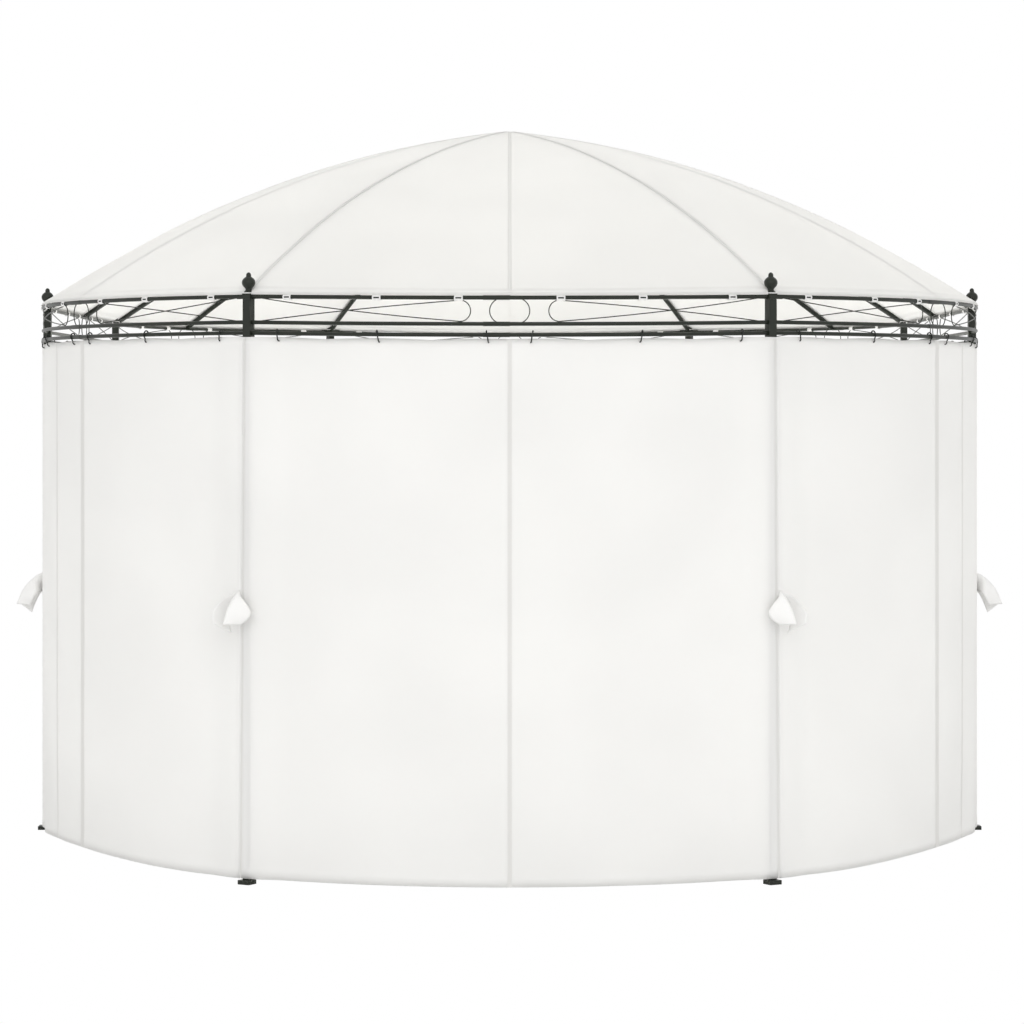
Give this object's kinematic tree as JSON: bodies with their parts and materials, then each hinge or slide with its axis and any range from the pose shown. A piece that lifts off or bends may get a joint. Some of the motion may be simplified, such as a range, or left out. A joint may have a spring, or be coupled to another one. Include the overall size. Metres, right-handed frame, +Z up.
{
  "type": "oval garden gazebo",
  "caption": "Oval open-bottomed garden gazebo: steel posts, scrollwork friezes and bent roof ribs under a domed cloth canopy, with closed cloth curtains on every bay.",
  "frame": {"origin": "on the floor, in the middle of the oval plan", "axes": "+Z up, +Y along the oval's length from its front end to its back end, +X to the right seen from the front"},
  "size_m": [3.6394, 5.6464, 2.563],
  "materials": {
    "frame_steel": "satin powder coat, dark grey green",
    "canopy_cloth": "coated plain weave, warm white",
    "curtain_cloth": "light plain weave, warm white",
    "strap_cloth": "folded webbing strap, warm white"
  },
  "bodies": {
    "root": {"arch_back": "frame_steel", "arch_front": "frame_steel", "arch_middle": "frame_steel", "canopy": "canopy_cloth", "corner_sleeves": "frame_steel", "curtain_back": "curtain_cloth", "curtain_back_left": "curtain_cloth", "curtain_back_right": "curtain_cloth", "curtain_front": "curtain_cloth", "curtain_front_left": "curtain_cloth", "curtain_front_right": "curtain_cloth", "curtain_left": "curtain_cloth", "curtain_right": "curtain_cloth", "feet": "frame_steel", "finials": "frame_steel", "frieze_back": "frame_steel", "frieze_back_left": "frame_steel", "frieze_back_right": "frame_steel", "frieze_front": "frame_steel", "frieze_front_left": "frame_steel", "frieze_front_right": "frame_steel", "frieze_left": "frame_steel", "frieze_right": "frame_steel", "hubs": "frame_steel", "post_back_left": "frame_steel", "post_back_right": "frame_steel", "post_front_left": "frame_steel", "post_front_right": "frame_steel", "post_left_back": "frame_steel", "post_left_front": "frame_steel", "post_right_back": "frame_steel", "post_right_front": "frame_steel", "ribs_back": "frame_steel", "ribs_front": "frame_steel", "ridge_tubes": "frame_steel", "tie_backs": "strap_cloth"}
  },
  "joints": []
}
